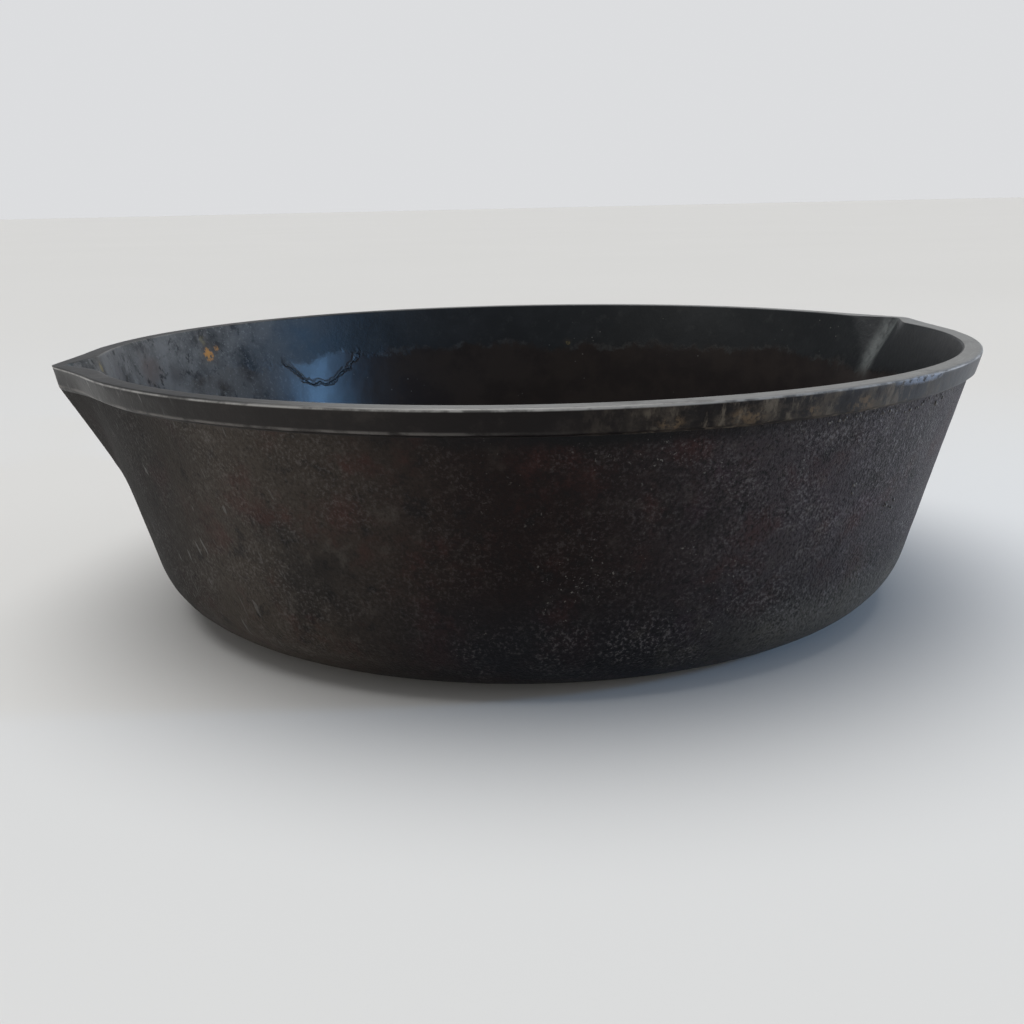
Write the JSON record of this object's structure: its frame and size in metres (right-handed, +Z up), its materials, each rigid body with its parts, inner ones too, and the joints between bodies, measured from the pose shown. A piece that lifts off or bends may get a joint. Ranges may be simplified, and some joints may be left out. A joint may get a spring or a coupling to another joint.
{
  "type": "deep skillet",
  "caption": "Deep cast iron skillet with opposite pour spouts, a thick rim band and a short handle with a teardrop hanging hole.",
  "frame": {"origin": "centre of the flat base, on the surface it rests on", "axes": "+Z up, +Y along the handle away from the pan, +X through the right pour spout"},
  "size_m": [0.2784, 0.3995, 0.075],
  "materials": {
    "cooking_surface": "seasoned, semi-gloss near-black inside",
    "cast_skin": "seasoned sand-cast skin, matte with fine grain",
    "ground_rim": "ground flat rim, worn bright grey",
    "handle_iron": "seasoned cast skin, worn smooth by the hand"
  },
  "bodies": {
    "root": {"cooking_floor": "cooking_surface", "heel": "cast_skin", "side_wall": "cast_skin", "rim_band": "ground_rim", "left_pour_spout": "ground_rim", "right_pour_spout": "ground_rim", "handle_root": "handle_iron", "handle_shank": "handle_iron", "hanging_eye": "handle_iron"}
  },
  "joints": []
}
